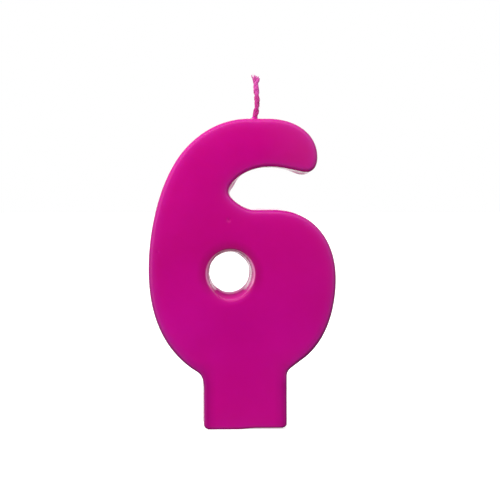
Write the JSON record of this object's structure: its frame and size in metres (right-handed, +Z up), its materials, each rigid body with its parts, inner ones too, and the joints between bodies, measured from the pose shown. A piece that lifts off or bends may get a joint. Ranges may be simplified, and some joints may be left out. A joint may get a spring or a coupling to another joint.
{
  "type": "number birthday candle",
  "caption": "Flat cast wax candle shaped as the numeral six, with a base tab that pushes into a cake and a plaited cotton wick at its crest.",
  "frame": {"origin": "on the end face of the base tab, at the middle of the overall width and of the thickness", "axes": "+Z up along the numeral's height to the wick, +X to the right as the numeral is read, -Y out of the front face and +Y out of the flat back"},
  "size_m": [0.0454, 0.011, 0.0857],
  "materials": {
    "wax": "satin",
    "wick": "matte"
  },
  "bodies": {
    "root": {"wax_body": "wax", "wick_strand_1": "wick", "wick_strand_2": "wick", "wick_strand_3": "wick"}
  },
  "joints": []
}
